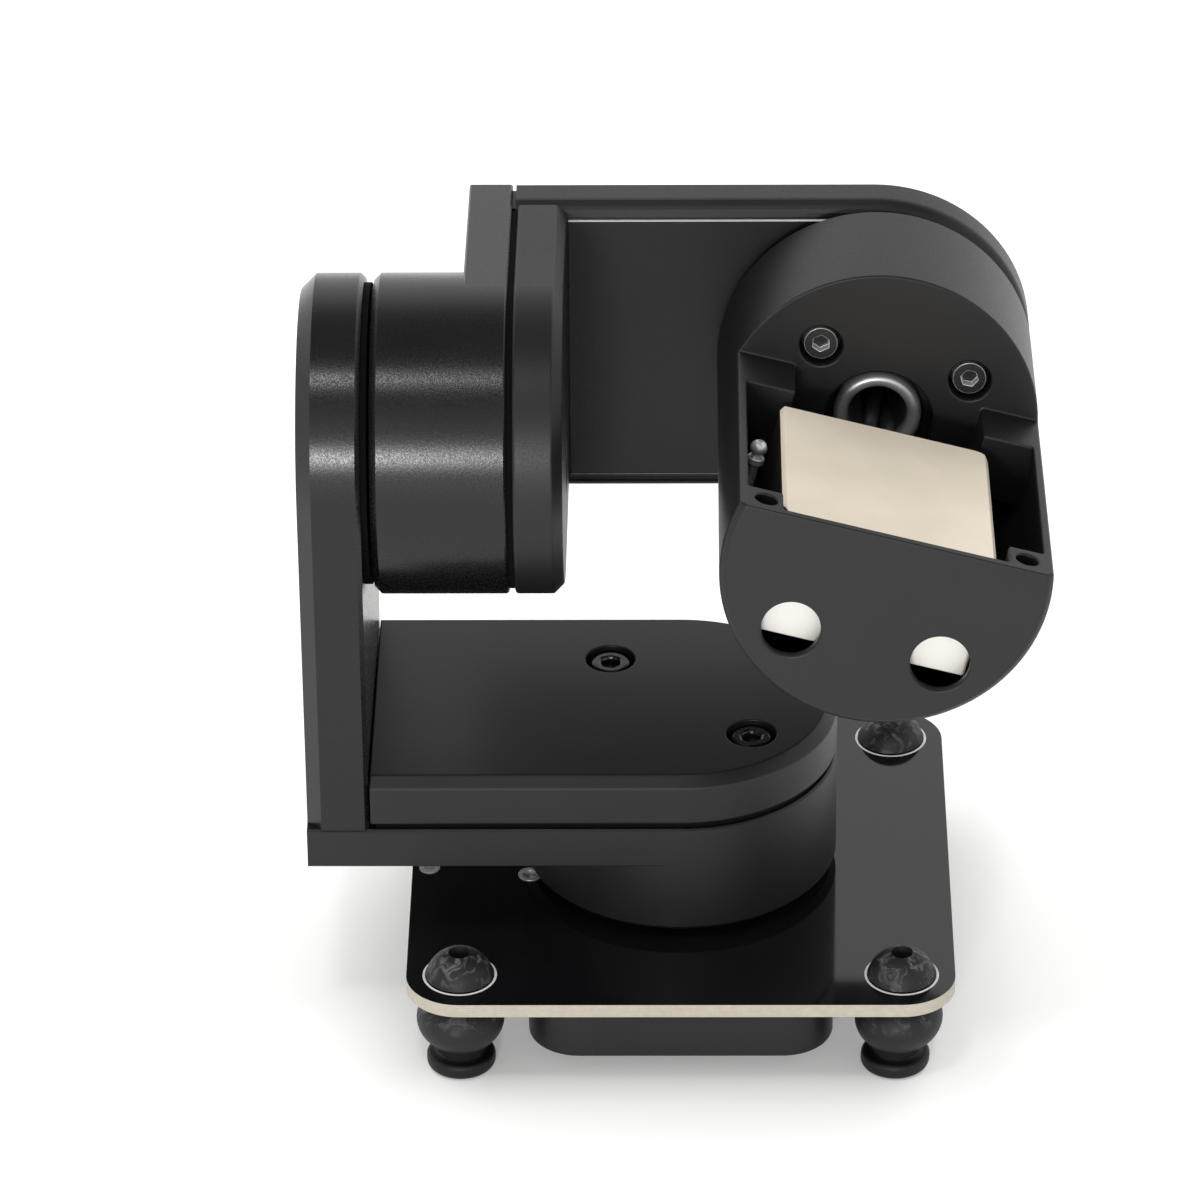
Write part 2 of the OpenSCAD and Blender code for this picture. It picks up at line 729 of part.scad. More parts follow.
module roll_spacer() color(dark_steel) on_roll() arm_spacer(roll_room, roll_reach);
module roll_cover() color(black_metal) on_roll() arm_cover(roll_room, roll_reach, roll_cover_t);
module roll_cover_screws() color(dark_steel) on_roll() cover_screws(roll_room, roll_cover_t);

// Back arm, drawn on the pitch motor's seat with its foot along -x
back_reach = pitch_offset - roll_arm_face_x;
panel_reach = pitch_offset - roll_cover_face_x - panel_play;
back_cable_way_d = 4;

module back_arm() {
    edge = concat(
        [[0, -arm_t], [cup_r - arm_bevel, -arm_t], [cup_r, arm_bevel - arm_t]],
        arc([cup_r - arm_round, -arm_round], arm_round, 0, 90, 6),
        [[0, 0]]);
    foot_r = cup_r - butt_seam_depth;
    foot = [
        [0, butt_seam_depth - arm_t], [foot_r, butt_seam_depth - arm_t], [foot_r, -butt_seam_depth],
        [0, -butt_seam_depth]];
    color(black_metal) on_back_arm() difference() {
        union() {
            tongue(edge, back_reach - butt_seam);
            tongue(foot, back_reach);
        }
        translate([0, 0, panel_proud - panel_t]) difference() {
            tongue(plate_half(cup_r - panel_margin, panel_t, 0, 0), panel_reach);
            cylinder(r = hub_flange_r + panel_play, h = panel_t);
        }
        hub_screw_holes(arm_t, seat_screw_sink);
        translate([0, 0, seat_web - arm_t]) cylinder(r = shaft_bore_r, h = arm_t);
        translate([0, 0, -arm_t / 2])
            rotate([0, -90, 0]) cylinder(d = back_cable_way_d, h = back_reach + over);
        for (s = [-1, 1])
            translate([-back_reach - over, s * arm_screw_y, -arm_t / 2])
                rotate([0, 90, 0]) cylinder(d = cup_screw_d + 2 * fit, h = arm_screw_hole_depth + over);
    }
}

module back_arm_panel() {
    panel_r = cup_r - panel_margin - panel_play;
    color(black_metal) on_back_arm() translate([0, 0, panel_proud - panel_t]) difference() {
        tongue(plate_half(panel_r, panel_t, 0, panel_bevel), panel_reach - panel_play);
        translate([0, 0, -over]) cylinder(r = hub_flange_r + 2 * panel_play, h = panel_t + 2 * over);
    }
}

module back_arm_screws() {
    color(dark_steel) on_roll() translate([roll_screw_x, 0, 0]) arm_screws(roll_room);
}

// Pitch motor
module pitch_stator_hub() color(steel) on_back_arm() stator_hub(pitch_room);
module pitch_stator_core() color(dark_steel) on_back_arm() stator_core(pitch_room);
module pitch_windings() color(copper) on_back_arm() windings(pitch_room);
module pitch_bearings() color(steel) on_back_arm() bearings(pitch_room);
module pitch_hub_screws() color(dark_steel) on_back_arm() hub_screws(arm_t, seat_screw_sink);
module pitch_rotor_bell() {
    color(steel) on_pitch()
        rotor_bell(pitch_room, pitch_rim_gap + bell_sink, housing_screw_d, housing_spread);
}
module pitch_magnets() color(magnet_grey) on_pitch() magnets(pitch_room);
module pitch_shaft() color(steel) on_pitch() motor_shaft(pitch_room, disc_z - shaft_recess);

// Camera housing: x runs across the bay, y up out of it and z to the closed end
ear_l = 6.2;
ear_play = 0.35;
ear_inset = 3.3;
ear_in = block_w / 2 + block_offset + ear_play;
ear_hole_depth = 8;
ear_h = 10;
ear_out = sqrt(bay_r * bay_r - rim_h * rim_h);
ear_x = (ear_in + ear_out) / 2;
ear_hole_d = 0.6527 * (ear_out - ear_in);
ear_z = end_z - ear_inset;
shelf_l = block_z - disc_z - 2.05;
shelf_x = 13;
shelf_h = 9;
rib_w = 8;
block_screw_z = [block_z + 0.25 * block_l, block_z + 0.75 * block_l];
block_screw_sink = 1;
block_screw_bite = 6;
block_side = block_offset + block_w / 2;
post_top = block_top - 0.5;
post_room = sqrt(bay_r * bay_r - post_top * post_top) - block_side;
post_head_r = 0.22 * post_room;
post_r = 0.14 * post_room;
post_boss_r = 0.4 * post_room;
post_x = -(block_side + post_room / 2);
post_z = block_z + 0.34 * block_l;
post_foot_y = -0.4 * bay_r;

module camera_housing() {
    bay_l = end_z - end_wall - disc_z;
    end_bevel = 0.8;
    color(black_metal) on_pitch() difference() {
        union() {
            difference() {
                translate([0, 0, pitch_rim_gap]) rotate_extrude()
                    polygon(plate_half(cup_r, housing_l, cup_edge_bevel, end_bevel));
                translate([0, 0, disc_z]) cylinder(r = bay_r, h = bay_l);
            }
            intersection() {
                translate([0, 0, disc_z - fit]) cylinder(r = cup_r - bay_wall / 2, h = bay_l + 2 * fit);
                bay_fittings();
            }
        }
        translate([-cup_d, rim_h, disc_z]) cube([2 * cup_d, cup_d, housing_l]);
        translate([0, 0, pitch_rim_gap - over]) cylinder(r = bell_r, h = pitch_room - pitch_rim_gap + over);
        translate([0, 0, pitch_room - over]) cylinder(r = shaft_r + fit, h = disc_z);
        translate([0, 0, disc_z - shaft_recess - shaft_stand])
            cylinder(r = shaft_recess_r, h = shaft_recess + shaft_stand + over);
        at_screws(housing_spread) {
            translate([0, 0, pitch_room - over])
                cylinder(d = housing_screw_d + 2 * fit, h = disc_z - pitch_room + over);
            translate([0, 0, disc_z - counterbore_depth])
                cylinder(d = counterbore_ratio * housing_screw_d, h = counterbore_depth + over);
        }
        for (s = [-1, 1]) {
            translate([s * window_x, -window_drop, end_z - end_wall - over])
                cylinder(d = window_d, h = end_wall + 2 * over);
            translate([s * ear_x, rim_h - ear_hole_depth, ear_z])
                rotate([-90, 0, 0]) cylinder(d = ear_hole_d, h = ear_hole_depth + over);
        }
        for (z = block_screw_z) translate([0, -cup_r, z]) rotate([-90, 0, 0]) {
            translate([0, 0, -over]) cylinder(d = cup_screw_d + 0.2, h = cup_r);
            translate([0, 0, -over]) cylinder(d = head_d + 0.4, h = head_h + block_screw_sink + over);
        }
    }
}

// Shelves behind, ears in front, a rib under the block and a foot for the clamp post
module bay_fittings() {
    for (s = [-1, 1]) {
        translate([s * (shelf_x + cup_r / 2), rim_h - shelf_h / 2, disc_z + shelf_l / 2 - fit])
            cube([cup_r, shelf_h, shelf_l], center = true);
        translate([s * (ear_in + cup_r / 2), rim_h - ear_h / 2, end_z - ear_l / 2])
            cube([cup_r, ear_h, ear_l], center = true);
    }
    translate([-rib_w / 2, -cup_r, disc_z]) cube([rib_w, cup_r + block_floor, housing_l]);
    translate([post_x, -cup_r, post_z]) rotate([-90, 0, 0])
        cylinder(r = post_boss_r, h = cup_r + post_foot_y);
}

module housing_screws() {
    head_z = disc_z - counterbore_depth;
    color(dark_steel) on_pitch() at_screws(housing_spread)
        translate([0, 0, head_z]) rotate(20)
            socket_screw(head_z - pitch_room + bell_floor_t, housing_screw_d);
}

// Seen from above, the block has round rear corners and a long cut at its front left corner
module camera_block() {
    edge = 0.8;
    left = -block_side;
    right = block_w - block_side;
    rear = -block_z;
    front = -block_z - block_l;
    left_r = 0.9;
    right_r = 2;
    front_r = 0.5;
    cut_w = 1;
    cut_l = 4.4;
    outline = concat(
        arc([left + left_r, rear - left_r], left_r, 90, 180, 5),
        [[left, front + cut_l], [left + cut_w, front]],
        arc([right - front_r, front + front_r], front_r, 270, 360, 4),
        arc([right - right_r, rear - right_r], right_r, 0, 90, 8));
    color(champagne) on_pitch() difference() {
        translate([0, block_floor, 0]) rotate([-90, 0, 0]) linear_extrude(block_h) polygon(outline);
        for (s = [-1, 1])
            translate([s * block_w / 2 - block_offset, block_top, block_z])
                rotate(45) cube([edge, edge, 3 * block_l], center = true);
        for (z = block_screw_z)
            translate([0, block_floor - over, z])
                rotate([-90, 0, 0]) cylinder(d = cup_screw_d + 2 * fit, h = block_screw_bite + 2 * over);
    }
}

module block_screws() {
    seat_y = -cup_r + head_h + block_screw_sink;
    color(dark_steel) on_pitch() for (z = block_screw_z)
        translate([0, seat_y, z]) rotate([90, 0, 0]) socket_screw(block_floor - seat_y + block_screw_bite);
}

// A threaded post with a round head beside the camera block
module clamp_post() {
    head_t = 1.4;
    nut_t = 1.2;
    nut_drop = 3.4;
    color(steel) on_pitch() translate([post_x, post_foot_y, post_z]) rotate([-90, 0, 0]) {
        cylinder(r = post_r, h = post_top - post_foot_y - head_t);
        translate([0, 0, post_top - post_foot_y - nut_drop]) cylinder(r = post_head_r, h = nut_t, $fn = 6);
        translate([0, 0, post_top - post_foot_y - head_t]) cylinder(r = post_head_r, h = head_t);
    }
}

// Insulated wires that run down the hollow shaft to the camera block
module shaft_wires() {
    wire_r = 0.22 * shaft_bore_r;
    wire_circle = 0.3 * shaft_bore_r;
    wire_end_z = -arm_t / 2;
    color(black_rubber) on_pitch() around(3, wire_circle, 90)
        translate([0, 0, wire_end_z]) cylinder(r = wire_r, h = block_z - wire_end_z);
}

base_plate();
plate_eyelets();
damper_front_left();
damper_front_right();
damper_rear_left();
damper_rear_right();
controller_case();
controller_board();
case_screws();
yaw_stator_hub();
yaw_stator_core();
yaw_windings();
yaw_bearings();
yaw_hub_screws();
yaw_arm();
yaw_rotor_bell();
yaw_magnets();
yaw_shaft();
yaw_spacer();
yaw_cover();
yaw_cover_screws();
upright_arm();
upright_arm_screws();
roll_stator_hub();
roll_stator_core();
roll_windings();
roll_bearings();
roll_hub_screws();
roll_arm();
roll_rotor_bell();
roll_magnets();
roll_shaft();
roll_spacer();
roll_cover();
roll_cover_screws();
back_arm();
back_arm_panel();
back_arm_screws();
pitch_stator_hub();
pitch_stator_core();
pitch_windings();
pitch_bearings();
pitch_hub_screws();
camera_housing();
pitch_rotor_bell();
pitch_magnets();
pitch_shaft();
housing_screws();
camera_block();
block_screws();
clamp_post();
shaft_wires();
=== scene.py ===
"""Looks of a three-axis camera gimbal in black anodised aluminium, on four rubber damping balls.

Everything is in metres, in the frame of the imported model: the origin is on the yaw axis at the feet, +Z is
up, and the closed end of the camera housing faces -Y.
"""
import json
from math import asin, cos, degrees, pi, radians, sin

import bpy
from mathutils import Matrix, Vector


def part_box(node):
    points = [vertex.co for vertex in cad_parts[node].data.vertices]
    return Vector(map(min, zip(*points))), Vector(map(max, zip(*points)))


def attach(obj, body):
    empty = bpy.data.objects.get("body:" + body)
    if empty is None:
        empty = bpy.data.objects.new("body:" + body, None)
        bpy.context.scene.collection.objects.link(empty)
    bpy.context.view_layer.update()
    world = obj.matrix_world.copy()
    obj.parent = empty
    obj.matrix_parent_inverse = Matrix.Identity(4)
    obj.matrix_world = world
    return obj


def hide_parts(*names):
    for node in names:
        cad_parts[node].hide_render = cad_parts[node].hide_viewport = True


MM = 0.001

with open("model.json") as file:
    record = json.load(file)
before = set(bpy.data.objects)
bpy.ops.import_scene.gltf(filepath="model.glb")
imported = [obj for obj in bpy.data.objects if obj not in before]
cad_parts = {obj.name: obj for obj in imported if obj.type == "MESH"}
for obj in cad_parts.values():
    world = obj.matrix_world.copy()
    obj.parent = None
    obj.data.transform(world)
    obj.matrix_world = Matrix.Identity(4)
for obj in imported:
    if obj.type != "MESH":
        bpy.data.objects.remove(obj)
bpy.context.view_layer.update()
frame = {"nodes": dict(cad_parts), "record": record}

# Places on the gimbal
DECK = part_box("base_plate")[1].z
PLATE_UNDERSIDE = DECK - 2 * MM
DAMPER_SPACING = 60 * MM
ROLL_HEIGHT = 67.6 * MM
PITCH_OFFSET = 26.7 * MM
BACK_FRONT = 27.4 * MM
ROLL_REST = radians(4.5)
PITCH_REST = radians(14.6)

# The frame of the pitch motor: x across the camera bay, y up out of it, z along the axis to the closed end
TO_PITCH = (
    Matrix.Translation((0, 0, DECK + ROLL_HEIGHT))
    @ Matrix.Rotation(-ROLL_REST, 4, "X")
    @ Matrix.Translation((PITCH_OFFSET, BACK_FRONT, 0))
    @ Matrix.Rotation(pi / 2, 4, "X")
    @ Matrix.Rotation(-PITCH_REST, 4, "Z")
)
ACROSS_BAY = (TO_PITCH.to_3x3() @ Vector((1, 0, 0))).normalized()
TO_CLOSED_END = (TO_PITCH.to_3x3() @ Vector((0, 0, 1))).normalized()
UP = Vector((0, 0, 1))


# Camera
def add_camera():
    """A long lens at the photograph's height and angle, with the gimbal in the frame as it stands there."""
    tilt = radians(31.212)
    turn = radians(-0.878)
    lean = radians(0.540)
    aside, above, distance = -10.924 * MM, 35.411 * MM, 975.968 * MM
    across = Vector((cos(turn), -sin(turn), 0))
    upward = Vector((sin(turn) * sin(tilt), cos(turn) * sin(tilt), cos(tilt)))
    ahead = Vector((sin(turn) * cos(tilt), cos(turn) * cos(tilt), -sin(tilt)))
    right = across * cos(lean) - upward * sin(lean)
    top = across * sin(lean) + upward * cos(lean)
    lens = bpy.data.cameras.new("camera")
    lens.sensor_width = 36
    lens.lens = 210
    lens.clip_start = 0.05
    camera = bpy.data.objects.new("camera", lens)
    bpy.context.scene.collection.objects.link(camera)
    camera.matrix_world = Matrix((right, top, -ahead)).transposed().to_4x4()
    camera.location = aside * across + above * upward - distance * ahead + DECK * UP
    bpy.context.scene.camera = camera


# Materials
def linear(code):
    """An sRGB hex colour as the linear colour that a shader takes."""
    shares = [int(code[i:i + 2], 16) / 255 for i in (1, 3, 5)]
    return tuple(s / 12.92 if s <= 0.04045 else ((s + 0.055) / 1.055) ** 2.4 for s in shares) + (1.0,)


def add_node(tree, kind, inputs=None, **settings):
    """Adds a shader node, sets its settings, and gives each named input a value or a link."""
    made = tree.nodes.new(kind)
    for name, value in settings.items():
        setattr(made, name, value)
    for name, value in (inputs or {}).items():
        if isinstance(value, bpy.types.NodeSocket):
            tree.links.new(value, made.inputs[name])
        else:
            made.inputs[name].default_value = value
    return made


def new_material(name):
    """An empty Principled material, with its tree and its shader."""
    material = bpy.data.materials.new(name)
    material.use_nodes = True
    tree = material.node_tree
    return material, tree, tree.nodes["Principled BSDF"]


def per_metre(size_mm):
    """The scale of a pattern whose features are that many millimetres apart."""
    return 1 / (size_mm * MM)


def two_colours(tree, factor, low, high, dark, light):
    """A colour that goes from one hex colour to another while the factor goes from low to high."""
    ramp = add_node(tree, "ShaderNodeValToRGB", {"Fac": factor})
    ramp.color_ramp.elements[0].position = low
    ramp.color_ramp.elements[0].color = linear(dark)
    ramp.color_ramp.elements[1].position = high
    ramp.color_ramp.elements[1].color = linear(light)
    return ramp.outputs["Color"]


def faces(tree, normal, direction, limit, both_ways=True):
    """1 where a surface faces a direction, or its opposite too, to within the limit, and 0 elsewhere."""
    along = add_node(
        tree, "ShaderNodeVectorMath", {0: normal, 1: direction}, operation="DOT_PRODUCT").outputs["Value"]
    if both_ways:
        along = add_node(tree, "ShaderNodeMath", {0: along}, operation="ABSOLUTE").outputs[0]
    return add_node(tree, "ShaderNodeMath", {0: along, 1: limit}, operation="GREATER_THAN").outputs[0]


def anodised_aluminium(name, smooth, rough, shine, edge_highlight=False):
    """Bead-blasted aluminium, anodised with black dye: a dark satin skin whose fine dimples catch a soft,
    grainy light.

    With an edge highlight, the faces that don't face the closed end are painted pale grey: a painted
    highlight, which shows as a bright line round the piece.
    """
    material, tree, shader = new_material(name)
    where = add_node(tree, "ShaderNodeTexCoord").outputs
    place = where["Object"]
    # Blasted dimples are about 0.1 mm wide; they are drawn at 0.28 mm, so that they show
    grit = add_node(tree, "ShaderNodeTexNoise", {"Vector": place, "Scale": per_metre(0.28), "Detail": 2.0})
    cloud = add_node(tree, "ShaderNodeTexNoise", {"Vector": place, "Scale": per_metre(14), "Detail": 3.0})
    colour = two_colours(tree, cloud.outputs["Fac"], 0.35, 0.7, "#0e0e10", "#131315")
    if edge_highlight:
        # Faces that don't face the closed end are painted pale grey: a painted highlight
        face_on = faces(tree, where["Normal"], TO_CLOSED_END, 0.8)
        colour = add_node(
            tree, "ShaderNodeMix", {"Factor": face_on, "A": linear("#b9b9bb"), "B": colour},
            data_type="RGBA").outputs["Result"]
    dullness = add_node(
        tree, "ShaderNodeMapRange",
        {"Value": grit.outputs["Fac"], "From Min": 0.3, "From Max": 0.7, "To Min": smooth, "To Max": rough})
    bump = add_node(
        tree, "ShaderNodeBump", {"Height": grit.outputs["Fac"], "Strength": 0.22, "Distance": 0.04 * MM})
    tree.links.new(colour, shader.inputs["Base Color"])
    tree.links.new(dullness.outputs["Result"], shader.inputs["Roughness"])
    tree.links.new(bump.outputs["Normal"], shader.inputs["Normal"])
    shader.inputs["Specular IOR Level"].default_value = shine
    return material


def plate_laminate():
    """Glass-fibre laminate under black solder mask: mirror-like faces, pale cut edges and faint layers."""
    material, tree, shader = new_material("plate_laminate")
    where = add_node(tree, "ShaderNodeTexCoord").outputs
    place = where["Object"]
    masked = faces(tree, where["Normal"], UP, 0.8)
    # The laminate has five layers of cloth in its 2 mm
    height = add_node(tree, "ShaderNodeSeparateXYZ", {"Vector": place}).outputs["Z"]
    layers = add_node(tree, "ShaderNodeMath", {0: height, 1: 2 * pi * per_metre(0.4)}, operation="MULTIPLY")
    wave = add_node(tree, "ShaderNodeMath", {0: layers.outputs[0]}, operation="SINE").outputs[0]
    fibre = add_node(tree, "ShaderNodeTexNoise", {"Vector": place, "Scale": per_metre(0.8), "Detail": 4.0})
    blend = add_node(
        tree, "ShaderNodeMath", {0: wave, 1: 0.12, 2: fibre.outputs["Fac"]}, operation="MULTIPLY_ADD")
    edge = two_colours(tree, blend.outputs[0], 0.2, 0.8, "#b9b1a2", "#c8c1b2")
    smear = add_node(tree, "ShaderNodeTexNoise", {"Vector": place, "Scale": per_metre(9), "Detail": 5.0})
    mask = two_colours(tree, smear.outputs["Fac"], 0.3, 0.8, "#0e0e10", "#131315")
    colour = add_node(
        tree, "ShaderNodeMix", {"Factor": masked, "A": edge, "B": mask}, data_type="RGBA").outputs["Result"]
    polish = add_node(
        tree, "ShaderNodeMapRange",
        {"Value": smear.outputs["Fac"], "From Min": 0.3, "From Max": 0.8, "To Min": 0.05, "To Max": 0.12})
    rough = add_node(
        tree, "ShaderNodeMix", {"Factor": masked, "A": 0.6, "B": polish.outputs["Result"]}, data_type="FLOAT")
    tree.links.new(colour, shader.inputs["Base Color"])
    tree.links.new(rough.outputs["Result"], shader.inputs["Roughness"])
    return material


def moulded_rubber():
    """Soft black rubber from a mould: dull, with a faint orange-peel skin and dust where it faces up,
    lightened further as a painted sheen; the foot is painted near-black as painted shade.
    """
    material, tree, shader = new_material("moulded_rubber")
    where = add_node(tree, "ShaderNodeTexCoord").outputs
    place = where["Object"]
    skin = add_node(tree, "ShaderNodeTexNoise", {"Vector": place, "Scale": per_metre(0.7), "Detail": 3.0})
    smear = add_node(
        tree, "ShaderNodeTexNoise",
        {"Vector": place, "Scale": per_metre(2.4), "Detail": 6.0, "Roughness": 0.7, "Distortion": 1.2})
    upward = add_node(tree, "ShaderNodeSeparateXYZ", {"Vector": where["Normal"]}).outputs["Z"]
    lying = add_node(
        tree, "ShaderNodeMapRange", {"Value": upward, "From Min": 0.1, "From Max": 0.8}).outputs["Result"]
    dust = add_node(
        tree, "ShaderNodeMapRange", {"Value": smear.outputs["Fac"], "From Min": 0.5, "From Max": 0.78})
    share = add_node(
        tree, "ShaderNodeMath", {0: lying, 1: dust.outputs["Result"]}, operation="MULTIPLY").outputs[0]
    # Upward faces lighten in streaks: real dust, plus a painted sheen standing in for the overhead light's
    # reflection
    dust_and_sheen = two_colours(tree, share, 0.0, 1.0, "#19191b", "#8c8c8e")
    # The foot, low under the plate, is painted near-black: painted shade
    height = add_node(tree, "ShaderNodeSeparateXYZ", {"Vector": place}).outputs["Z"]
    above = add_node(
        tree, "ShaderNodeMapRange", {"Value": height, "From Min": 2.4 * MM, "From Max": 3.2 * MM})
    colour = add_node(
        tree, "ShaderNodeMix", {"Factor": above.outputs["Result"], "A": linear("#030304"), "B": dust_and_sheen},
        data_type="RGBA").outputs["Result"]
    bump = add_node(
        tree, "ShaderNodeBump", {"Height": skin.outputs["Fac"], "Strength": 0.2, "Distance": 0.06 * MM})
    tree.links.new(colour, shader.inputs["Base Color"])
    tree.links.new(bump.outputs["Normal"], shader.inputs["Normal"])
    shader.inputs["Roughness"].default_value = 0.52
    shader.inputs["Specular IOR Level"].default_value = 0.35
    return material


def champagne_lacquer():
    """Champagne lacquer with metal flake over fine tool marks: pale and even; both flanks are left dark."""
    material, tree, shader = new_material("champagne_lacquer")
    where = add_node(tree, "ShaderNodeTexCoord").outputs
    turned = add_node(
        tree, "ShaderNodeMapping", {"Vector": where["Object"], "Rotation": (0.0, PITCH_REST, 0.0)})
    stretch = (per_metre(0.3), per_metre(5), per_metre(0.3))
    drawn = add_node(tree, "ShaderNodeMapping", {"Vector": turned.outputs["Vector"], "Scale": stretch})
    marks = add_node(
        tree, "ShaderNodeTexNoise", {"Vector": drawn.outputs["Vector"], "Scale": 1.0, "Detail": 3.0})
    cloud = add_node(
        tree, "ShaderNodeTexNoise", {"Vector": where["Object"], "Scale": per_metre(9), "Detail": 2.0})
    tint = two_colours(tree, cloud.outputs["Fac"], 0.35, 0.7, "#dbd0bd", "#e2d7c5")
    # The end behind the windows is painted near-white: painted light
    painted_light_end = faces(tree, where["Normal"], TO_CLOSED_END, 0.85, both_ways=False)
    pale = add_node(
        tree, "ShaderNodeMix", {"Factor": painted_light_end, "A": tint, "B": linear("#efece5")},
        data_type="RGBA").outputs["Result"]
    flank = faces(tree, where["Normal"], ACROSS_BAY, 0.85)
    colour = add_node(
        tree, "ShaderNodeMix", {"Factor": flank, "A": pale, "B": linear("#2c2825")},
        data_type="RGBA").outputs["Result"]
    rough = add_node(
        tree, "ShaderNodeMapRange",
        {"Value": marks.outputs["Fac"], "From Min": 0.3, "From Max": 0.7, "To Min": 0.42, "To Max": 0.5})
    tree.links.new(colour, shader.inputs["Base Color"])
    tree.links.new(rough.outputs["Result"], shader.inputs["Roughness"])
    shader.inputs["Metallic"].default_value = 0.4
    return material


def plain_skin(name, dark, light, grain_mm, roughness, metallic=0.0, shine=0.5, rim_highlight=None):
    """A coating, enamel or ink with a slight mottle and a matching unevenness.

    Given a rim highlight colour, the faces that don't face the closed end, such as the rims, take it as a
    painted highlight.
    """
    material, tree, shader = new_material(name)
    where = add_node(tree, "ShaderNodeTexCoord").outputs
    mottle = add_node(
        tree, "ShaderNodeTexNoise",
        {"Vector": where["Object"], "Scale": per_metre(grain_mm), "Detail": 3.0})
    bump = add_node(
        tree, "ShaderNodeBump", {"Height": mottle.outputs["Fac"], "Strength": 0.12, "Distance": 0.02 * MM})
    colour = two_colours(tree, mottle.outputs["Fac"], 0.35, 0.7, dark, light)
    if rim_highlight:
        # Painted highlight on the rims and socket walls
        flat = faces(tree, where["Normal"], TO_CLOSED_END, 0.97)
        colour = add_node(
            tree, "ShaderNodeMix", {"Factor": flat, "A": linear(rim_highlight), "B": colour},
            data_type="RGBA").outputs["Result"]
    tree.links.new(colour, shader.inputs["Base Color"])
    tree.links.new(bump.outputs["Normal"], shader.inputs["Normal"])
    shader.inputs["Roughness"].default_value = roughness
    shader.inputs["Specular IOR Level"].default_value = shine
    shader.inputs["Metallic"].default_value = metallic
    return material


# The finish of each slot
MATERIALS = {
    "anodised_black": anodised_aluminium("anodised_aluminium", smooth=0.2, rough=0.32, shine=0.39),
    "plate_laminate": plate_laminate(),
    "damper_rubber": moulded_rubber(),
    "champagne_metal": champagne_lacquer(),
    # Green lacquer over copper tracks: half gloss, a little uneven
    "circuit_board": plain_skin("solder_mask_green", "#12402a", "#1a5236", grain_mm=2, roughness=0.35),
    # Turned and tumbled steel: bright, with soft reflections
    "steel": plain_skin(
        "satin_steel", "#c4c4c5", "#d2d2d3", grain_mm=0.4, roughness=0.36, metallic=0.65),
    # Steel blackened in a hot bath: dark, with a glint on each edge
    "black_screw": plain_skin(
        "blackened_steel", "#3c3c3e", "#4a4a4c", grain_mm=0.4, roughness=0.26, metallic=0.9),
    # Steel under a coat of fine phosphate crystals, dark in itself and made nearly black as painted shade,
    # for the parts that sit deep in gaps and seams
    "blackened_steel": plain_skin(
        "phosphated_steel_painted_shade", "#060607", "#0a0a0b", grain_mm=0.5, roughness=0.8, shine=0.08),
    # A stack of punched sheets: grey and dull
    "lamination": plain_skin(
        "silicon_steel", "#3b3c40", "#4a4b50", grain_mm=0.5, roughness=0.45, metallic=0.8),
    # Copper wire under clear enamel: warm and glossy
    "copper": plain_skin(
        "enamelled_copper", "#8f4f26", "#b5713f", grain_mm=0.4, roughness=0.3, metallic=0.9),
    # Nickel on a pressed magnet: pale grey and smooth
    "magnet": plain_skin("nickel_plate", "#8f9196", "#a6a8ad", grain_mm=1, roughness=0.25, metallic=1.0),
    # Soft insulation: black, with a broad sheen
    "wire_sheath": plain_skin("vinyl_sheath", "#131314", "#1c1c1d", grain_mm=0.6, roughness=0.28),
}

# Pieces that were blasted more finely, which leaves them duller; the panel's edge carries a painted highlight
FINE_ANODISED = anodised_aluminium("fine_anodised_aluminium", smooth=0.4, rough=0.48, shine=0.41)
EDGE_HIGHLIGHT_ANODISED = anodised_aluminium(
    "edge_highlight_anodised_aluminium", smooth=0.4, rough=0.48, shine=0.36, edge_highlight=True)
# Screws with black flats, and painted highlights on their rims and socket walls
RIM_HIGHLIGHT_SCREW = plain_skin(
    "rim_highlight_screw_steel", "#2e2e30", "#38383a", grain_mm=0.4, roughness=0.3, metallic=0.4, rim_highlight="#d4d4d6")
OWN_FINISHES = {
    "yaw_arm": FINE_ANODISED,
    "yaw_cover": FINE_ANODISED,
    "roll_cover": FINE_ANODISED,
    "back_arm": FINE_ANODISED,
    "back_arm_panel": EDGE_HIGHLIGHT_ANODISED,
    "camera_housing": FINE_ANODISED,
    "controller_case": FINE_ANODISED,
    "housing_screws": RIM_HIGHLIGHT_SCREW,
}

# Screen-printed ink: a matt, slightly uneven white
WHITE_INK = plain_skin("screen_ink", "#d9d9d4", "#ecece8", grain_mm=0.5, roughness=0.5)


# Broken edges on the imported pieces: their width in each slot
EDGE_WIDTHS = {
    "anodised_black": 0.3 * MM,
    "plate_laminate": 0.08 * MM,
    "champagne_metal": 0.25 * MM,
    "steel": 0.12 * MM,
    "black_screw": 0.22 * MM,
}

# Pieces whose edges are broken wider or narrower than the rest of their slot
OWN_EDGE_WIDTHS = {
    "upright_arm": 0.6 * MM,
    "yaw_arm": 0.5 * MM,
    "roll_arm": 0.5 * MM,
    "back_arm": 0.5 * MM,
    "yaw_cover": 0.2 * MM,
    "roll_cover": 0.2 * MM,
    "back_arm_panel": 0.05 * MM,
    "plate_eyelets": 0.05 * MM,
    "yaw_cover_screws": 0.45 * MM,
    "roll_cover_screws": 0.45 * MM,
    "housing_screws": 0.38 * MM,
}

# On these, one short edge would hold back all the others, so each edge is broken to its full width
OPEN_EDGED = ("camera_housing", "controller_case", "yaw_cover", "roll_cover")


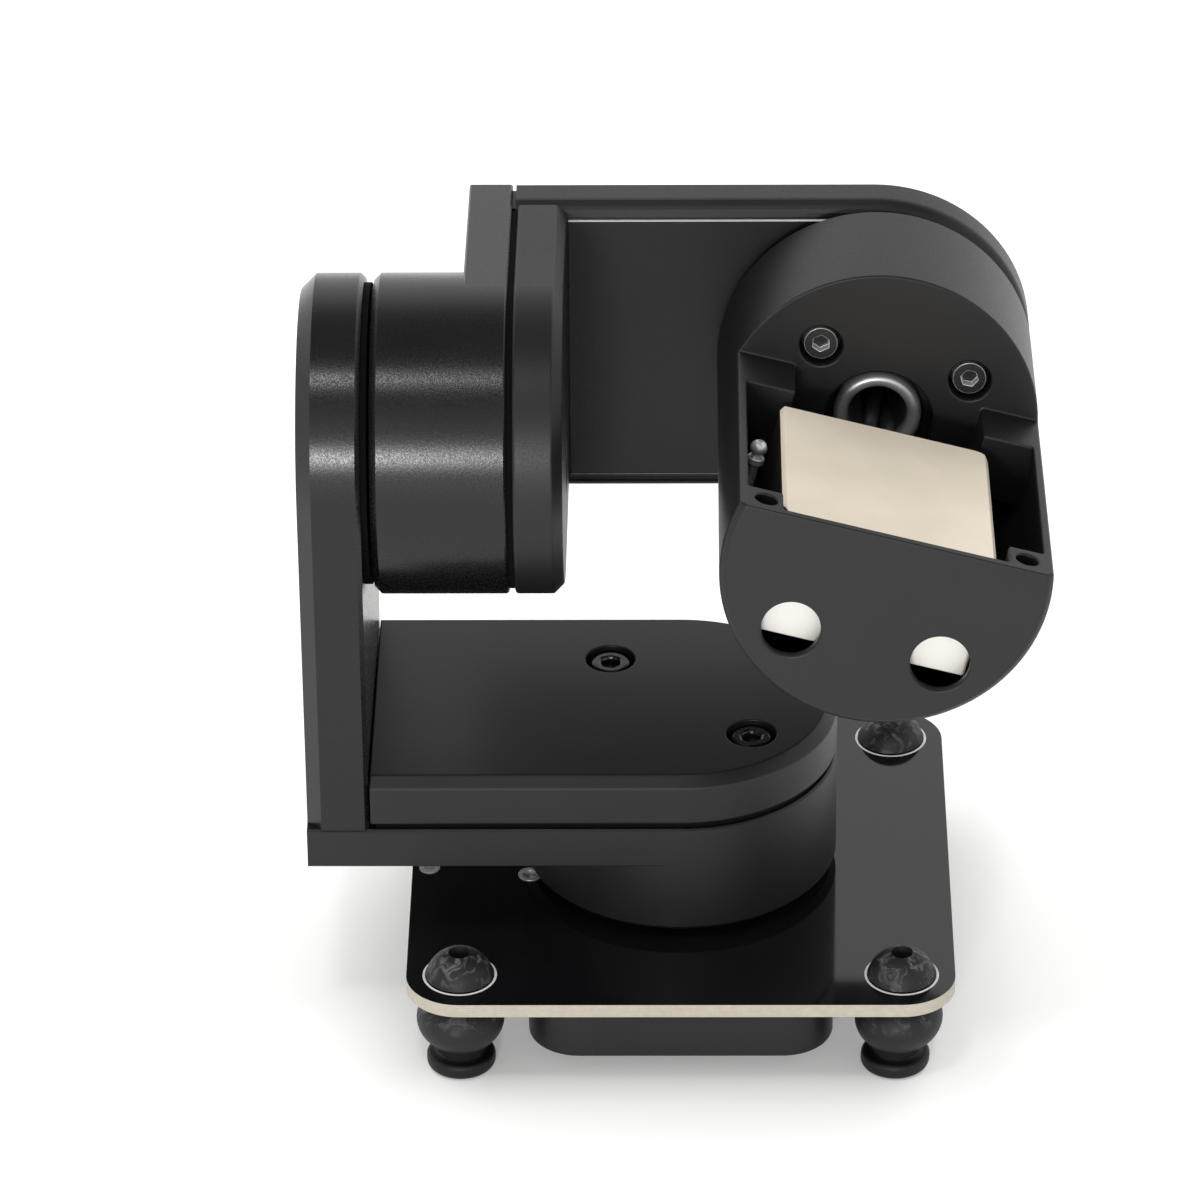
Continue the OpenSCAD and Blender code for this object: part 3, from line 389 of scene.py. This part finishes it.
def soften(piece, width, open_edged):
    """Breaks a piece's sharp edges, as a maker's deburring does, so that each edge holds a line of light."""
    weld = piece.modifiers.new("join faces", "WELD")
    weld.merge_threshold = 0.001 * MM
    flats = piece.modifiers.new("whole flats", "DECIMATE")
    flats.decimate_type = "DISSOLVE"
    flats.angle_limit = radians(0.4)
    edge = piece.modifiers.new("broken edge", "BEVEL")
    edge.width = width
    edge.segments = 2
    edge.limit_method = "ANGLE"
    edge.angle_limit = radians(32)
    edge.use_clamp_overlap = not open_edged
    edge.miter_outer = "MITER_ARC"
    even = piece.modifiers.new("even light", "WEIGHTED_NORMAL")
    even.keep_sharp = True


def finish_nodes():
    """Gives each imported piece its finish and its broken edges."""
    for part in frame["record"]["subparts"]:
        name = part["node"]
        slot = part["material_slot"]
        piece = frame["nodes"][name]
        piece.data.materials.clear()
        piece.data.materials.append(OWN_FINISHES.get(name, MATERIALS[slot]))
        if slot in EDGE_WIDTHS:
            soften(piece, OWN_EDGE_WIDTHS.get(name, EDGE_WIDTHS[slot]), name in OPEN_EDGED)


# Pieces made here
def turn_piece(name, outline, lean=0.0, upright_from=0.0):
    """A ring drawn up through the radii and heights of a closed outline, as on a lathe.

    Below the upright height, each ring stands aside by the lean for each metre of depth.
    """
    bpy.ops.object.select_all(action="DESELECT")
    radius, height = outline[0]
    bpy.ops.mesh.primitive_circle_add(vertices=80, radius=radius, location=(0, 0, 0))
    piece = bpy.context.object
    piece.name = name
    bpy.ops.object.mode_set(mode="EDIT")
    bpy.ops.mesh.select_all(action="SELECT")
    aside = lean * max(0, upright_from - height)
    bpy.ops.transform.translate(value=(aside, 0, height))
    for next_radius, next_height in outline[1:] + outline[:1]:
        next_aside = lean * max(0, upright_from - next_height)
        step = (next_aside - aside, 0, next_height - height)
        bpy.ops.mesh.extrude_region_move(TRANSFORM_OT_translate={"value": step})
        growth = next_radius / radius
        bpy.ops.transform.resize(value=(growth, growth, 1), center_override=(next_aside, 0, next_height))
        radius, height, aside = next_radius, next_height, next_aside
    bpy.ops.mesh.select_all(action="SELECT")
    bpy.ops.mesh.remove_doubles(threshold=0.002 * MM)
    bpy.ops.mesh.normals_make_consistent(inside=False)
    bpy.ops.object.mode_set(mode="OBJECT")
    bpy.ops.object.shade_smooth_by_angle(angle=radians(42))
    return piece


def settle(piece, place, body, material):
    """Puts a finished piece in its place for good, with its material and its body."""
    piece.matrix_world = place
    bpy.ops.object.select_all(action="DESELECT")
    piece.select_set(True)
    bpy.context.view_layer.objects.active = piece
    bpy.ops.object.transform_apply(location=True, rotation=True, scale=True)
    piece.data.materials.append(material)
    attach(piece, body)


def arc(centre, radius, start, end, steps):
    """Points of an arc in the plane of an outline, both ends included; its angles are in degrees."""
    turns = [radians(start + (end - start) * i / steps) for i in range(steps + 1)]
    return [(centre[0] + radius * cos(a), centre[1] + radius * sin(a)) for a in turns]


def damper_place(across, along):
    """The foot of the ball at one corner of the plate; each side is -1 or 1."""
    return Matrix.Translation((across * DAMPER_SPACING / 2, along * DAMPER_SPACING / 2, 0))


def damper_outline():
    """A damping ball, from the mouth of its bore at the foot to the dome on the plate."""
    bore, neck, foot, bulge, head = 1.4 * MM, 3.3 * MM, 4.7 * MM, 6.0 * MM, 4.7 * MM
    mouth_round, foot_round, lip_round = 0.4 * MM, 0.9 * MM, 0.7 * MM
    foot_top, bulge_low = 2.3 * MM, 2.9 * MM
    middle = (bulge_low + PLATE_UNDERSIDE) / 2
    half = (PLATE_UNDERSIDE - bulge_low) / 2
    points = [(bore, 0.35 * MM)]
    points += arc((bore + mouth_round, mouth_round), mouth_round, 200, 270, 3)
    points += arc((foot - foot_round, foot_round), foot_round, -90, 0, 6)
    points += arc((foot - lip_round, foot_top - lip_round), lip_round, 0, 80, 5)
    points += [(neck + 0.35 * MM, foot_top), (neck, foot_top + 0.3 * MM), (neck, bulge_low)]
    # The bulge is a flattened ball that ends 57 degrees over and under its middle
    bulge_end, bulge_steps = 57, 24
    for step in range(1, bulge_steps):
        turn = radians(-bulge_end + 2 * bulge_end * step / bulge_steps)
        points.append((bulge * cos(turn), middle + half * sin(turn)))
    # The neck goes through the plate, and the head rests on it with a thin lip
    seat = DECK + 0.02 * MM
    points += [(neck, PLATE_UNDERSIDE - 0.1 * MM), (neck, seat)]
    points += [(head - 0.25 * MM, seat), (head, DECK + 0.3 * MM)]
    dome = 3.9 * MM
    dome_radius = (head ** 2 + dome ** 2) / (2 * dome)
    lip_angle = 90 - degrees(asin((head - 0.05 * MM) / dome_radius))
    points += arc((0, DECK + dome - dome_radius), dome_radius, lip_angle + 6, 72, 14)
    crown = points[-1][1]
    points += [(bore + 0.1 * MM, crown + 0.02 * MM), (bore, crown - 0.3 * MM)]
    return points


def add_dampers():
    """The four rubber balls; the one in front on the right has been pushed a little sideways by its load."""
    places = {"front_left": (-1, -1), "front_right": (1, -1), "rear_left": (-1, 1), "rear_right": (1, 1)}
    for name, (across, along) in places.items():
        lean = -0.065 if name == "front_right" else 0.0
        ball = turn_piece("rubber_ball_" + name, damper_outline(), lean, PLATE_UNDERSIDE)
        settle(ball, damper_place(across, along), "base", MATERIALS["damper_rubber"])
        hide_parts("damper_" + name)


def add_printed_rings():
    """A thin white ring of ink on the plate, round each ball's dome."""
    inner, outer, ink = 4.72 * MM, 5.06 * MM, 0.02 * MM
    outline = [(inner, DECK), (outer, DECK), (outer, DECK + ink), (inner, DECK + ink)]
    for across in (-1, 1):
        for along in (-1, 1):
            ring = turn_piece("printed_ring", outline)
            settle(ring, damper_place(across, along), "base", WHITE_INK)


def add_shaft_end():
    """The pitch motor's hollow shaft, with the round lip that shines in the bay's rear wall."""
    low, top = 0.6 * MM, 22.05 * MM
    bore, outside, collar = 4.6 * MM, 6.0 * MM, 6.9 * MM
    collar_low, collar_top = 15.0 * MM, 15.6 * MM
    mouth = 4.0 * MM
    lip = (outside - mouth) / 2
    outline = [(bore, low), (outside, low), (outside, collar_low), (collar, collar_low)]
    outline += [(collar, collar_top), (outside, collar_top)]
    outline += arc((outside - lip, top - lip), lip, 0, 180, 14)
    outline += [(mouth, top - 2 * lip), (bore, top - 2.6 * lip)]
    shaft = turn_piece("hollow_shaft", outline)
    settle(shaft, TO_PITCH, "camera_stage", MATERIALS["steel"])
    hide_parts("pitch_shaft")


def add_clamp_post():
    """The post beside the camera block: a thin rod with a flange and a round, bright head."""
    bore, rod, flange, head = 0.3 * MM, 0.7 * MM, 1.18 * MM, 1.15 * MM
    top, flange_low, flange_top = 11.68 * MM, 8.3 * MM, 9.3 * MM
    corner = 0.15 * MM
    outline = [(bore, 0), (rod, 0), (rod, flange_low), (flange - corner, flange_low)]
    outline += [(flange, flange_low + corner), (flange, flange_top - corner)]
    outline += [(flange - corner, flange_top), (rod, flange_top)]
    outline += arc((0, top - head), head, -45, 72, 14)
    outline += [(bore, top - 0.35 * MM)]
    post = turn_piece("turned_post", outline)
    foot = Matrix.Translation((-17.45 * MM, -8.18 * MM, 46.29 * MM))
    place = TO_PITCH @ foot @ Matrix.Rotation(-pi / 2, 4, "X")
    settle(post, place, "camera_stage", MATERIALS["steel"])
    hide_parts("clamp_post")


def add_wires():
    """Three insulated wires that come twisted out of the hollow shaft and go in behind the camera block."""
    count, stations = 3, 10
    wire_radius, twist_radius, twist_turns = 1.0 * MM, 1.25 * MM, 0.55
    start, length = -4.2 * MM, 39.4 * MM
    # Past this share of their length, the wires sink a little towards the bay's floor
    sink_from, sink_slope = 0.45, 1.2 * MM
    wires = []
    for number in range(count):
        bpy.ops.object.select_all(action="DESELECT")
        bpy.ops.curve.primitive_nurbs_path_add(location=(0, 0, 0))
        wire = bpy.context.object
        line = wire.data.splines[0]
        line.points.add(stations - len(line.points))
        line.use_endpoint_u = True
        line.order_u = 4
        for station, point in enumerate(line.points):
            share = station / (stations - 1)
            turn = 2 * pi * (number / count + twist_turns * share)
            sink = sink_slope * max(0, share - sink_from)
            point.co = (
                twist_radius * cos(turn), twist_radius * sin(turn) - sink, start + length * share, 1)
        wire.data.bevel_depth = wire_radius
        wire.data.bevel_resolution = 5
        wire.data.use_fill_caps = True
        bpy.ops.object.convert(target="MESH")
        wires.append(wire)
    for wire in wires:
        wire.select_set(True)
    bpy.ops.object.join()
    bundle = bpy.context.object
    bundle.name = "twisted_wires"
    bpy.ops.object.shade_smooth_by_angle(angle=radians(50))
    settle(bundle, TO_PITCH, "camera_stage", MATERIALS["wire_sheath"])
    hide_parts("shaft_wires")


# Light and floor
def mirrored_rays(tree, path):
    """1 for rays that look by reflection or through glass, and 0 for the others."""
    return add_node(
        tree, "ShaderNodeMath", {0: path["Is Glossy Ray"], 1: path["Is Transmission Ray"]},
        operation="MAXIMUM").outputs[0]


def add_room():
    """A white room: bright where it is looked at, with a plain even light on the gimbal."""
    world = bpy.data.worlds.new("white_studio")
    bpy.context.scene.world = world
    world.use_nodes = True
    tree = world.node_tree
    path = add_node(tree, "ShaderNodeLightPath").outputs
    # The sweep is white all round; the ceiling over it is dim, which leaves the upper rounds of the cups dark
    outward = add_node(tree, "ShaderNodeTexCoord").outputs["Generated"]
    upward = add_node(tree, "ShaderNodeSeparateXYZ", {"Vector": outward}).outputs["Z"]
    mirror_image = add_node(
        tree, "ShaderNodeMapRange",
        {"Value": upward, "From Min": 0.6, "From Max": 0.85, "To Min": 1.0, "To Max": 0.2}).outputs["Result"]
    unseen = add_node(
        tree, "ShaderNodeMix", {"Factor": mirrored_rays(tree, path), "A": 0.54, "B": mirror_image},
        data_type="FLOAT").outputs["Result"]
    strength = add_node(
        tree, "ShaderNodeMix", {"Factor": path["Is Camera Ray"], "A": unseen, "B": 1.0},
        data_type="FLOAT").outputs["Result"]
    background = tree.nodes["Background"]
    background.inputs["Color"].default_value = (1, 1, 1, 1)
    tree.links.new(strength, background.inputs["Strength"])


def add_floor():
    """A sheet of white paper, which keeps the gimbal's shadow and glows a little where it is looked at."""
    bpy.ops.object.select_all(action="DESELECT")
    bpy.ops.mesh.primitive_plane_add(size=6, location=(0, 0, 0))
    floor = bpy.context.object
    floor.name = "floor"
    material, tree, shader = new_material("white_paper")
    shader.inputs["Base Color"].default_value = linear("#f2f2f0")
    shader.inputs["Roughness"].default_value = 0.9
    shader.inputs["Specular IOR Level"].default_value = 0.0
    shader.inputs["Emission Color"].default_value = (1, 1, 1, 1)
    path = add_node(tree, "ShaderNodeLightPath").outputs
    seen = add_node(
        tree, "ShaderNodeMath", {0: path["Is Camera Ray"], 1: mirrored_rays(tree, path)},
        operation="MAXIMUM").outputs[0]
    # Far out, where the lamps don't reach, the sweep is still as white as the background
    where = add_node(tree, "ShaderNodeTexCoord").outputs["Object"]
    reach = add_node(tree, "ShaderNodeVectorMath", {0: where}, operation="LENGTH").outputs["Value"]
    far = add_node(
        tree, "ShaderNodeMapRange",
        {"Value": reach, "From Min": 1.0, "From Max": 2.2, "To Min": 0.2, "To Max": 0.6}).outputs["Result"]
    glow = add_node(tree, "ShaderNodeMath", {0: seen, 1: far}, operation="MULTIPLY").outputs[0]
    tree.links.new(glow, shader.inputs["Emission Strength"])
    floor.data.materials.append(material)


def add_soft_box(name, place, aim, size, power, mirrored=True):
    """An area lamp at a place, turned to face its aim; one that isn't mirrored leaves no image of itself."""
    lamp = bpy.data.lights.new(name, "AREA")
    lamp.shape = "RECTANGLE"
    lamp.size, lamp.size_y = size
    lamp.energy = power
    light = bpy.data.objects.new(name, lamp)
    bpy.context.scene.collection.objects.link(light)
    light.location = place
    light.visible_glossy = mirrored
    light.rotation_euler = (Vector(aim) - Vector(place)).to_track_quat("-Z", "Y").to_euler()


def add_lamps():
    """A broad soft box overhead, and two small ones in front that lay bands of light along the roll cup."""
    roll_cup = (-0.03, 0, 0.08)
    add_soft_box("overhead", (0.0, 0.6, 1.5), (0, 0.3, 0.05), size=(2.6, 2.4), power=29, mirrored=False)
    add_soft_box("front_high", (-0.14, -0.37, 1.0), roll_cup, size=(0.12, 0.1), power=1.1)
    add_soft_box("front_low", (-0.14, -0.98, 0.29), roll_cup, size=(0.12, 0.14), power=3.1)


add_camera()
finish_nodes()
add_dampers()
add_printed_rings()
add_shaft_end()
add_clamp_post()
add_wires()
add_room()
add_floor()
add_lamps()
bpy.context.scene.view_settings.view_transform = "Standard"
